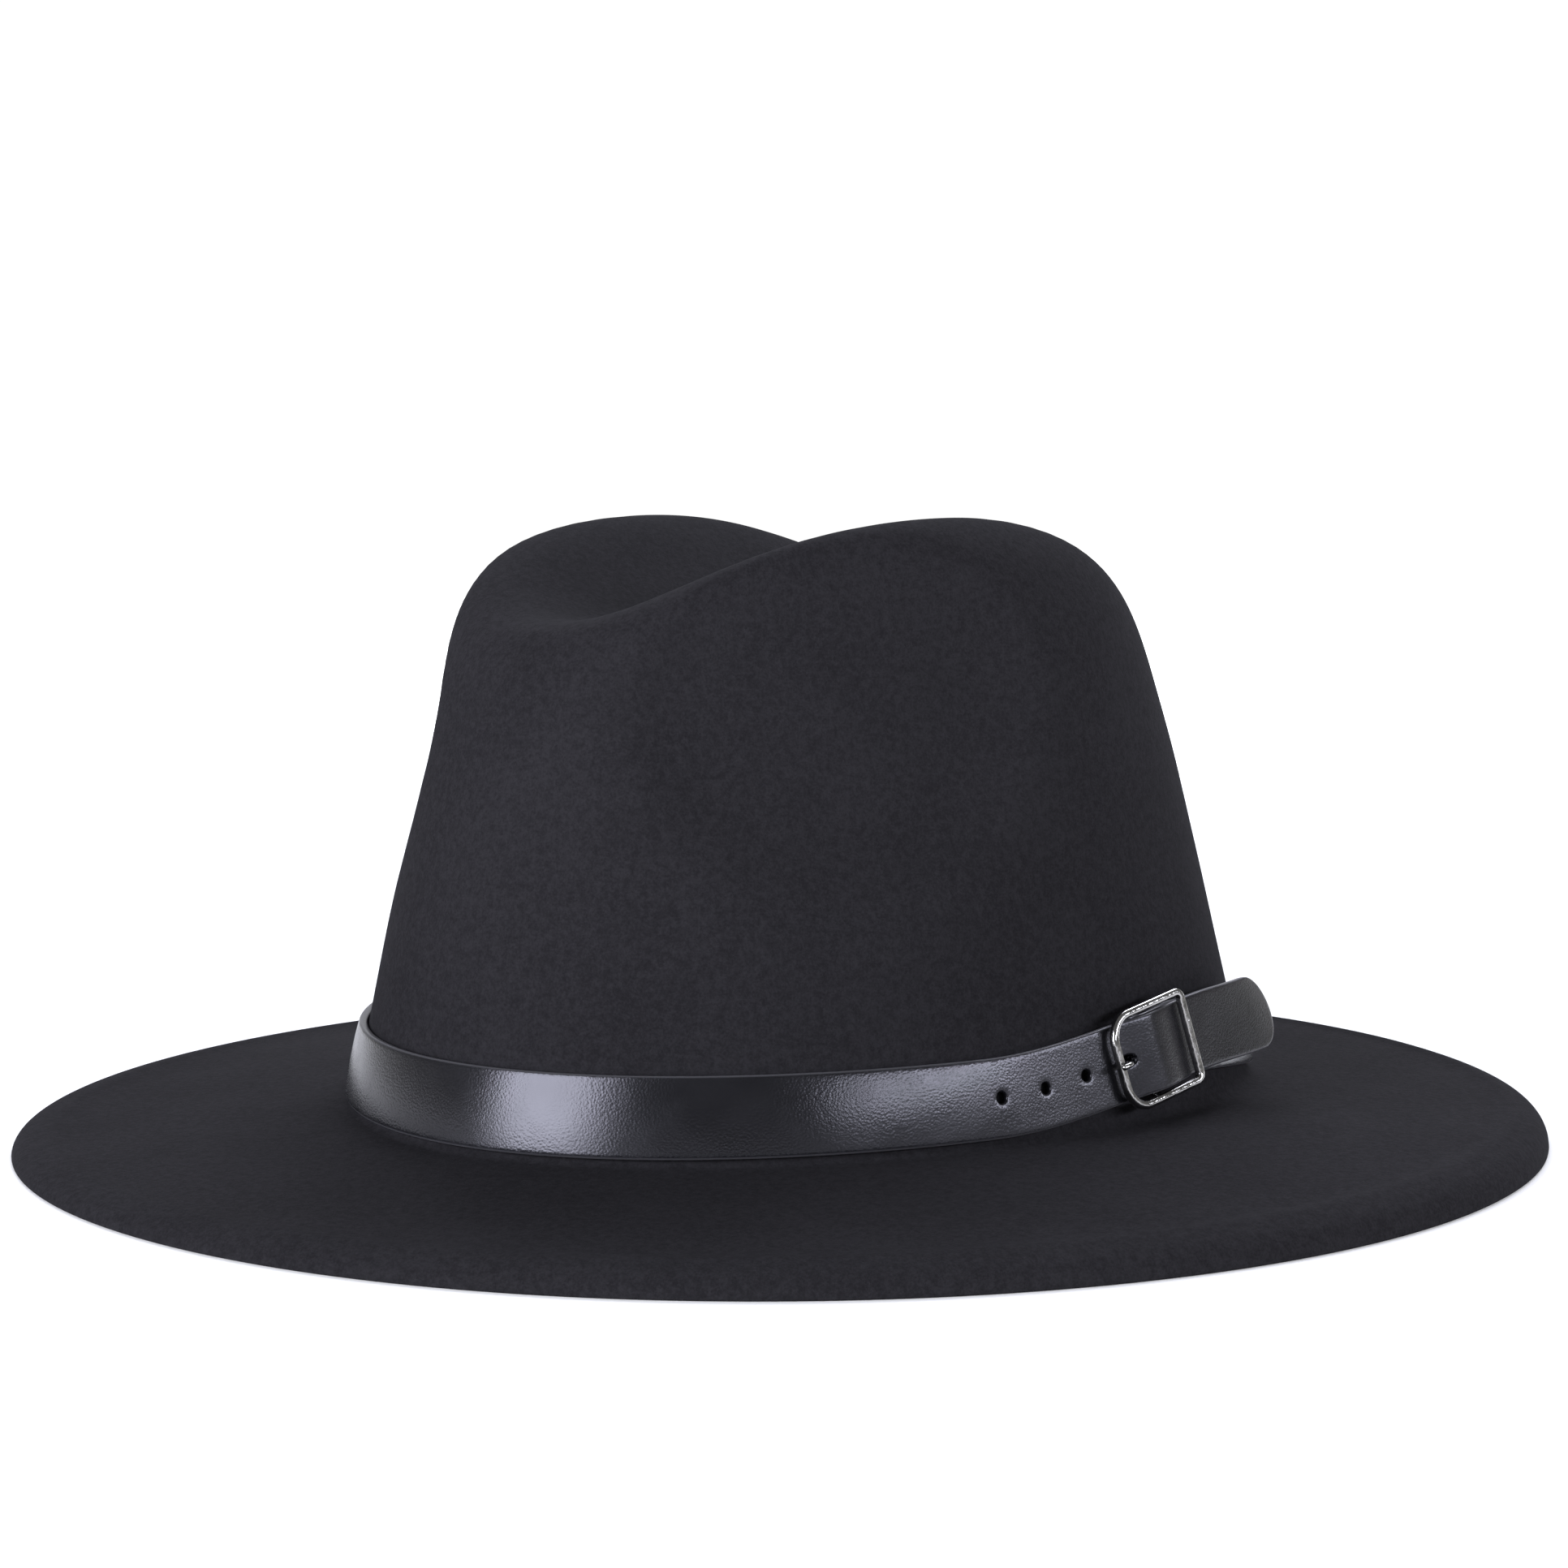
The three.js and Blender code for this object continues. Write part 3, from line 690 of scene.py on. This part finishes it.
front_bearing = bearing(-1)
back_bearing = bearing(1)
bar_low = strap_point(0, -STRAP_WIDTH / 2, BAR_OUT)
bar_high = strap_point(0, STRAP_WIDTH / 2, BAR_OUT)
buckle_y = (bar_high - bar_low).normalized()
buckle_z = (back_bearing - front_bearing).cross(buckle_y).normalized()
buckle_x = buckle_y.cross(buckle_z)
buckle_place = Matrix((buckle_x, buckle_y, buckle_z)).transposed().to_4x4()
buckle_place = Matrix.Translation((front_bearing + back_bearing) / 2) @ buckle_place
bar = buckle_place.inverted() @ strap_point(0, 0, BAR_OUT)
print("the bar lies at", [round(c, 2) for c in bar], "in the buckle's axes")

# %% A helper that bends wire
WIRE_SIDES = 16


def bend_wire(bm, radius, places, squareness=1.0, closed=False):
    """Extrudes a round section from place to place, each a matrix whose z axis runs along the wire."""
    ring = bmesh.ops.create_circle(bm, cap_ends=False, radius=radius, segments=WIRE_SIDES)["verts"]
    for vertex in ring:
        vertex.co.x = math.copysign(abs(vertex.co.x / radius) ** squareness, vertex.co.x) * radius
        vertex.co.y = math.copysign(abs(vertex.co.y / radius) ** squareness, vertex.co.y) * radius
    bmesh.ops.transform(bm, matrix=places[0], verts=ring)
    edges = list({edge for vertex in ring for edge in vertex.link_edges})
    first_edges = edges
    for before, after in zip(places, places[1:]):
        grown = bmesh.ops.extrude_edge_only(bm, edges=edges)["geom"]
        ring = [part for part in grown if isinstance(part, bmesh.types.BMVert)]
        edges = [part for part in grown if isinstance(part, bmesh.types.BMEdge)]
        bmesh.ops.transform(bm, matrix=after @ before.inverted(), verts=ring)
    if not closed:
        bmesh.ops.holes_fill(bm, edges=first_edges + edges, sides=WIRE_SIDES)


def places_along(points, side, closed=False):
    """Places at the points, facing along the path, with their x axis towards the given side."""
    places = []
    count = len(points)
    for number, point in enumerate(points):
        if closed:
            ahead = points[(number + 1) % count] - points[number - 1]
        else:
            ahead = points[min(number + 1, count - 1)] - points[max(number - 1, 0)]
        z = ahead.normalized()
        y = z.cross(side).normalized()
        x = y.cross(z)
        places.append(Matrix.Translation(point) @ Matrix((x, y, z)).transposed().to_4x4())
    if closed:
        places.append(places[0])
    return places


print("wires have", WIRE_SIDES, "sides")

# %% Bend the frame and solder its bar
WIRE_SQUARENESS = 0.72  # 1 would be a round wire, less is squarer
CORNER_STEPS = 7
ELBOW_RADIUS = 1
ELBOW_STEPS = 4


def corner(middle, radius, start):
    """Points of a quarter circle in the frame's plane, going anticlockwise."""
    points = []
    for step in range(CORNER_STEPS + 1):
        turn = start + step / CORNER_STEPS * math.pi / 2
        points.append(middle + radius * Vector((math.cos(turn), math.sin(turn), 0)))
    return points


def frame_points():
    front = FRAME_HALF_LENGTH - FRONT_CORNER_RADIUS
    front_up = FRAME_HALF_HEIGHT - FRONT_CORNER_RADIUS
    back = FRAME_HALF_LENGTH - BACK_CORNER_RADIUS
    back_up = FRAME_HALF_HEIGHT - BACK_CORNER_RADIUS
    points = corner(Vector((back, back_up, 0)), BACK_CORNER_RADIUS, 0)
    points += corner(Vector((-front, front_up, 0)), FRONT_CORNER_RADIUS, math.pi / 2)
    points += corner(Vector((-front, -front_up, 0)), FRONT_CORNER_RADIUS, math.pi)
    points += corner(Vector((back, -back_up, 0)), BACK_CORNER_RADIUS, 1.5 * math.pi)
    return points


def bar_points():
    """From the frame's upper side down, along behind the strap, and up again to its lower side."""
    points = [Vector((bar.x, FRAME_HALF_HEIGHT, 0))]
    for side in (1, -1):
        elbow = []
        for step in range(ELBOW_STEPS + 1):
            turn = step / ELBOW_STEPS * math.pi / 2
            y = FRAME_HALF_HEIGHT - ELBOW_RADIUS * (1 - math.cos(turn))
            z = bar.z + ELBOW_RADIUS * (1 - math.sin(turn))
            elbow.append(Vector((bar.x, side * y, z)))
        points += elbow if side == 1 else elbow[::-1]
    points.append(Vector((bar.x, -FRAME_HALF_HEIGHT, 0)))
    return points


def bend_frame():
    bm = bmesh.new()
    rim = places_along(frame_points(), Vector((0, 0, 1)), closed=True)
    bend_wire(bm, WIRE_SIZE / 2, rim, WIRE_SQUARENESS, closed=True)
    bend_wire(bm, BAR_RADIUS, places_along(bar_points(), Vector((1, 0, 0))))
    bmesh.ops.transform(bm, matrix=buckle_place, verts=bm.verts)
    return bm


buckle_frame = finish_piece("bent_buckle_frame", bend_frame(), "buckle_frame")

# %% Bend the prong
RING_START = 120 * DEGREE  # where the prong's ring round the bar begins
RING_TURN = 270 * DEGREE
RING_STEPS = 9
UNDER_STRAP = [(3.2, -0.3), (5.2, -0.1), (7, 0.9), (8.3, 2.6)]  # ahead of the bar, and out
ON_FRAME = [(-1.4, -0.4), (0, 0), (1.2, -0.05)]  # ahead of the seat on the frame, and out
CURVE_STEPS = 4
PRONG_END_SHARE = 0.45  # the prong's ends are filed to this share of its thickness


def prong_knots():
    ring_radius = BAR_RADIUS + LAYER_GAP + PRONG_RADIUS
    seat = WIRE_SIZE / 2 + LAYER_GAP + PRONG_RADIUS
    knots = []
    for step in range(RING_STEPS + 1):
        turn = RING_START - RING_TURN * step / RING_STEPS
        ahead = ring_radius * math.cos(turn)
        out = ring_radius * math.sin(turn)
        knots.append(Vector((bar.x + ahead, 0, bar.z + out)))
    knots += [Vector((bar.x - ahead, 0, bar.z + out)) for ahead, out in UNDER_STRAP]
    knots += [Vector((-FRAME_HALF_LENGTH - ahead, 0, seat + out)) for ahead, out in ON_FRAME]
    return knots


def smooth_path(knots):
    """A soft curve through all the knots."""
    padded = [2 * knots[0] - knots[1]] + knots + [2 * knots[-1] - knots[-2]]
    path = []
    for a, b, c, d in zip(padded, padded[1:], padded[2:], padded[3:]):
        for step in range(CURVE_STEPS):
            t = step / CURVE_STEPS
            square = (2 * a - 5 * b + 4 * c - d) * t ** 2
            cube = (3 * b - a - 3 * c + d) * t ** 3
            path.append(0.5 * (2 * b + (c - a) * t + square + cube))
    path.append(knots[-1])
    return path


def bend_prong():
    path = smooth_path(prong_knots())
    places = places_along(path, Vector((0, 1, 0)))
    blunt = Matrix.Scale(PRONG_END_SHARE, 4)
    end = (path[-1] - path[-2]).normalized() * PRONG_RADIUS / 2
    start = (path[0] - path[1]).normalized() * PRONG_RADIUS / 2
    places.append(Matrix.Translation(end) @ places[-1] @ blunt)
    places.insert(0, Matrix.Translation(start) @ places[0] @ blunt)
    bm = bmesh.new()
    bend_wire(bm, PRONG_RADIUS, places)
    bmesh.ops.transform(bm, matrix=buckle_place, verts=bm.verts)
    return bm


buckle_prong = finish_piece("bent_buckle_prong", bend_prong(), "buckle_prong")

# %% [markdown]
# ## Materials in Python
# A material is a net of nodes. Written one by one they are hard to read, so a small class stands for a
# value that varies over the surface, and ordinary arithmetic on it adds the Math nodes. Every other
# node comes from one method, which sets its settings first and then its sockets.

# %% A value that varies, and a finish made of nodes
class Varying:
    """A socket whose value varies over the surface."""

    def __init__(self, net, socket):
        self.net = net
        self.socket = socket

    def maths(self, operation, first, second):
        return self.net.add("ShaderNodeMath", {"operation": operation}, {0: first, 1: second})

    def __add__(self, other):
        return self.maths("ADD", self, other)

    def __sub__(self, other):
        return self.maths("SUBTRACT", self, other)

    def __rsub__(self, other):
        return self.maths("SUBTRACT", other, self)

    def __mul__(self, other):
        return self.maths("MULTIPLY", self, other)

    def or_more(self, other):
        return self.maths("MAXIMUM", self, other)

    __radd__ = __add__
    __rmul__ = __mul__


class Net:
    """The nodes of a material or of the world."""

    def __init__(self, tree):
        self.tree = tree

    def set_sockets(self, node, sockets):
        for name, value in sockets.items():
            if isinstance(value, Varying):
                self.tree.links.new(value.socket, node.inputs[name])
            else:
                node.inputs[name].default_value = value

    def add(self, kind, settings, sockets, output=0):
        node = self.tree.nodes.new(kind)
        for name, value in settings.items():
            setattr(node, name, value)
        self.set_sockets(node, sockets)
        return Varying(self, node.outputs[output])

    def place(self, output="Object"):
        return self.add("ShaderNodeTexCoord", {}, {}, output)

    def noise(self, place, size, detail=2.0, roughness=0.5):
        """Noise between 0 and 1 whose lumps are about this many millimetres apart."""
        sockets = {"Vector": place, "Scale": 1 / (size * MM), "Detail": detail, "Roughness": roughness}
        return self.add("ShaderNodeTexNoise", {}, sockets, "Fac")

    def between(self, value, low, high, start=0.0, end=1.0):
        """Goes softly from start at low to end at high."""
        settings = {"interpolation_type": "SMOOTHSTEP"}
        sockets = {"Value": value, "From Min": low, "From Max": high, "To Min": start, "To Max": end}
        return self.add("ShaderNodeMapRange", settings, sockets)

    def mix_colours(self, share, first, second):
        return self.add("ShaderNodeMix", {"data_type": "RGBA"}, {0: share, 6: first, 7: second}, 2)

    def bump(self, height, distance, strength=1.0):
        sockets = {"Height": height, "Distance": distance * MM, "Strength": strength}
        return self.add("ShaderNodeBump", {}, sockets, "Normal")


class Finish(Net):
    """A material with a Principled shader."""

    def __init__(self, name):
        self.material = bpy.data.materials.new(name)
        self.material.use_nodes = True
        super().__init__(self.material.node_tree)
        self.shader = self.tree.nodes["Principled BSDF"]

    def surface(self, sockets):
        self.set_sockets(self.shader, sockets)

    def dress(self, piece):
        piece.data.materials.append(self.material)
        print(self.material.name, "on", piece.name, "uses", len(self.tree.nodes), "nodes")


print("shader tools are ready")

# %% [markdown]
# ## Wool felt
# Felt is a mat of short wool fibres with no weave. It is matt, a little cloudy where the dye took
# unevenly, and its nap catches the light where it is seen along the surface. Three sizes of noise give
# the clouds, the lumps and the fibres, and the shader's sheen gives the light nap at the edges.

# %% Finish of the felt
CLOUD_SIZE = 26
LUMP_SIZE = 1.5
FIBRE_SIZE = 0.5
TONE_RANGE = (0.34, 0.66)  # the noise that gives the darkest and the palest felt
DARK_FELT = (0.0124, 0.0119, 0.0132, 1)
PALE_FELT = (0.0223, 0.0214, 0.0237, 1)
NAP_COLOUR = (0.62, 0.61, 0.68, 1)
NAP_DEPTH = 0.25

felt = Finish("charcoal_wool_felt")
place = felt.place()
clouds = felt.noise(place, CLOUD_SIZE, detail=2)
lumps = felt.noise(place, LUMP_SIZE, detail=3, roughness=0.6)
fibres = felt.noise(place, FIBRE_SIZE, detail=2, roughness=0.7)
tone = felt.between(0.15 * clouds + 0.4 * lumps + 0.45 * fibres, *TONE_RANGE)
felt.surface({
    "Base Color": felt.mix_colours(tone, DARK_FELT, PALE_FELT),
    "Roughness": 0.95,
    "Specular IOR Level": 0.03,
    "Sheen Weight": 0.006,
    "Sheen Roughness": 0.4,
    "Sheen Tint": NAP_COLOUR,
    "Normal": felt.bump(0.5 * fibres + 0.5 * lumps, NAP_DEPTH, 0.6),
})
felt.dress(felt_hat)

# %% [markdown]
# ## Black leather
# The strap is finished in black with a fine pebbled grain. The grain is made of small raised cells with
# lines between them and finer pores over both, and the gloss varies from patch to patch. The edges get
# a painted highlight, a paler colour, and are made duller, which the strap's flat UV map can tell.

# %% Finish of the leather
GRAIN_SIZE = 0.45
PORE_SIZE = 0.35
GRAIN_DEPTH = 0.06
PATCH_SIZE = 9
PATCH_RANGE = (0.2, 0.8)  # the noise that gives the glossiest and the dullest patches
GLOSSY = 0.21
DULL = 0.27
EDGE_DULLER = 0.1
BLACK_DYE = (0.0045, 0.0045, 0.0055, 1)
WORN_DYE = (0.0080, 0.0080, 0.0092, 1)
# pale colour painted along the cut edges as a highlight
EDGE_HIGHLIGHT_COLOUR = (0.075, 0.074, 0.080, 1)
COOL_SHINE = (0.92, 0.91, 1.0, 1)
EDGE_HIGHLIGHT_START = 7.2  # the painted edge highlight begins this far from the middle line

leather = Finish("black_grained_leather")
place = leather.place()
cells = leather.add(
    "ShaderNodeTexVoronoi",
    {"feature": "SMOOTH_F1"},
    {"Vector": place, "Scale": 1 / (GRAIN_SIZE * MM), "Smoothness": 0.5},
    "Distance",
)
pores = leather.noise(place, PORE_SIZE, detail=2)
grain = 0.2 * pores - 0.8 * cells
patches = leather.noise(place, PATCH_SIZE, detail=2)
cut_place = leather.add("ShaderNodeUVMap", {"uv_map": "flat"}, {}, "UV")
across = leather.add("ShaderNodeSeparateXYZ", {}, {"Vector": cut_place}, "Y")
from_middle = leather.add("ShaderNodeMath", {"operation": "ABSOLUTE"}, {0: across})
# share near the cut edges: it paints the edge highlight into the colour and makes the edges duller
highlight_edge_share = leather.between(from_middle, EDGE_HIGHLIGHT_START * MM, STRAP_WIDTH / 2 * MM)
dyed = leather.mix_colours(patches, BLACK_DYE, WORN_DYE)
leather.surface({
    "Base Color": leather.mix_colours(highlight_edge_share, dyed, EDGE_HIGHLIGHT_COLOUR),
    "Roughness": leather.between(patches, *PATCH_RANGE, GLOSSY, DULL) + EDGE_DULLER * highlight_edge_share,
    "Specular IOR Level": 0.44,
    "Specular Tint": COOL_SHINE,
    "Normal": leather.bump(grain, GRAIN_DEPTH, 0.5),
})
leather.dress(leather_strap)

# %% [markdown]
# ## Polished metal
# The buckle is plated and polished, so it shows mostly its surroundings. Noise in its colour, its gloss
# and its surface keeps it from looking like a mirror: small buckles are tumbled, never quite flat, and
# their plating darkens where it is handled.

# %% Finish of the buckle
HANDLING_SIZE = 3
HANDLING_RANGE = (0.3, 0.7)  # the noise that gives the most and the least polished spots
POLISHED = 0.08
UNPOLISHED = 0.2
DARK_PLATE = (0.27, 0.265, 0.26, 1)
PALE_PLATE = (0.48, 0.47, 0.455, 1)
DIMPLE_SIZE = 1.4
DIMPLE_DEPTH = 0.12

metal = Finish("polished_buckle_metal")
place = metal.place()
handling = metal.noise(place, HANDLING_SIZE, detail=3)
dimples = metal.noise(place, DIMPLE_SIZE, detail=2)
metal.surface({
    "Base Color": metal.mix_colours(handling, DARK_PLATE, PALE_PLATE),
    "Metallic": 1.0,
    "Roughness": metal.between(handling, *HANDLING_RANGE, POLISHED, UNPOLISHED),
    "Normal": metal.bump(dimples, DIMPLE_DEPTH, 0.6),
})
metal.dress(buckle_frame)
metal.dress(buckle_prong)

# %% [markdown]
# ## Studio
# The hat lies on a wide white table that is lit from below, so its shadow stays weak. The glow is
# weaker towards the camera, where it would show in the strap. Two soft lights stand left and right of
# the camera and give the strap its two broad highlights with a dark gap between them. A third one
# behind the hat lights the ridges of the crown and leaves the front brim in shadow.

# %% The white table
TABLE_RADIUS = 8.0
TABLE_SIDES = 96
GLOW_NEAR = 0.22  # light from below near the hat
GLOW_FAR = 1.0
GLOW_START = 0.5  # metres from the hat, where the glow begins to grow
GLOW_END = 2.0
FRONT_START = 0.33  # metres from the hat towards the camera, where the glow grows weaker
FRONT_END = 1.6
FRONT_GLOW = 0.3  # share of the glow that is left there
OPAL_WHITE = (0.8, 0.8, 0.8, 1)
TO_CAMERA = (math.sin(CAMERA_AZIMUTH), -math.cos(CAMERA_AZIMUTH), 0)
DOT_PRODUCT = {"operation": "DOT_PRODUCT"}


def make_table():
    bm = bmesh.new()
    bmesh.ops.create_circle(bm, cap_ends=True, radius=TABLE_RADIUS, segments=TABLE_SIDES)
    mesh = bpy.data.meshes.new("white_table")
    bm.to_mesh(mesh)
    bm.free()
    table = bpy.data.objects.new("white_table", mesh)
    scene.collection.objects.link(table)
    return table


def grey(value):
    return value, value, value, 1


opal = Finish("backlit_opal")
place = opal.place()
from_hat = opal.add("ShaderNodeVectorMath", {"operation": "LENGTH"}, {0: place}, "Value")
in_front = opal.add("ShaderNodeVectorMath", DOT_PRODUCT, {0: place, 1: TO_CAMERA}, "Value")
ring_glow = opal.between(from_hat, GLOW_START, GLOW_END)
ring_light = opal.mix_colours(ring_glow, grey(GLOW_NEAR), grey(GLOW_FAR))
front_share = opal.between(in_front, FRONT_START, FRONT_END, 1, FRONT_GLOW)
opal.surface({
    "Base Color": OPAL_WHITE,
    "Roughness": 0.9,
    "Specular IOR Level": 0.1,
    "Emission Color": opal.mix_colours(front_share, grey(0), ring_light),
    "Emission Strength": 1.0,
})
opal.dress(make_table())

# %% Soft lights
LIGHT_TARGET = Vector((0, 0, 0.05))
SOFTBOX_COLOUR = (0.87, 0.89, 1.0)

# Azimuth from the hat's front towards its left and elevation, in degrees, then metres and watts.
Softbox = namedtuple("Softbox", "name azimuth elevation distance width height power")
SOFTBOXES = (
    Softbox("left_softbox", -6, 14, 2.0, 1.1, 1.15, 57),
    Softbox("right_softbox", 102, 16, 2.0, 2.3, 0.2, 28),
    Softbox("back_light", 213, 49, 2.4, 2.0, 1.0, 74),
)


def hang(softbox):
    """Hangs a rectangular light so that it faces the hat."""
    data = bpy.data.lights.new(softbox.name, "AREA")
    data.shape = "RECTANGLE"
    data.size = softbox.width
    data.size_y = softbox.height
    data.energy = softbox.power
    data.color = SOFTBOX_COLOUR
    azimuth = softbox.azimuth * DEGREE
    elevation = softbox.elevation * DEGREE
    away = Vector((
        math.sin(azimuth) * math.cos(elevation),
        -math.cos(azimuth) * math.cos(elevation),
        math.sin(elevation),
    ))
    turn = away.to_track_quat("Z", "Y").to_matrix().to_4x4()
    light = bpy.data.objects.new(softbox.name, data)
    light.matrix_world = Matrix.Translation(LIGHT_TARGET + away * softbox.distance) @ turn
    scene.collection.objects.link(light)
    print(softbox.name, "gives", softbox.power, "W from", softbox.azimuth, "degrees")


for softbox in SOFTBOXES:
    hang(softbox)

# %% The room round the hat
ROOM_DARK = 0.19
ROOM_LIGHT = 1.05
BACKDROP_AZIMUTH = CAMERA_AZIMUTH + 166 * DEGREE  # a little to one side behind the hat
BACKDROP_START = 0.7  # cosine of the angle to the middle of the backdrop
BACKDROP_FULL = 0.86
BACKDROP_TOP = 0.16  # sine of the height angle above which the backdrop fades
BACKDROP_END = 0.26
WALL_LIGHT = 0.45
WALL_TOP = 0.07  # sine of the height angle up to which the wall is pale all round
WALL_FADE = 0.14


def make_room():
    """A white backdrop behind the hat, a low pale wall all round, and a darker room above the wall."""
    world = bpy.data.worlds.new("studio_room")
    world.use_nodes = True
    room = Net(world.node_tree)
    direction = room.place("Generated")
    to_backdrop = (math.sin(BACKDROP_AZIMUTH), -math.cos(BACKDROP_AZIMUTH), 0)
    facing = room.add("ShaderNodeVectorMath", DOT_PRODUCT, {0: direction, 1: to_backdrop}, "Value")
    height = room.add("ShaderNodeVectorMath", DOT_PRODUCT, {0: direction, 1: (0, 0, 1)}, "Value")
    backdrop = room.between(facing, BACKDROP_START, BACKDROP_FULL, ROOM_DARK, ROOM_LIGHT)
    backdrop = backdrop * room.between(height, BACKDROP_TOP, BACKDROP_END, 1, ROOM_DARK)
    wall = room.between(height, WALL_TOP, WALL_FADE, WALL_LIGHT, ROOM_DARK)
    room.set_sockets(room.tree.nodes["Background"], {
        "Color": (1, 1, 1, 1),
        "Strength": backdrop.or_more(wall),
    })
    scene.world = world


make_room()
scene.view_settings.view_transform = "Standard"
print("the room goes from", ROOM_DARK, "to", ROOM_LIGHT)
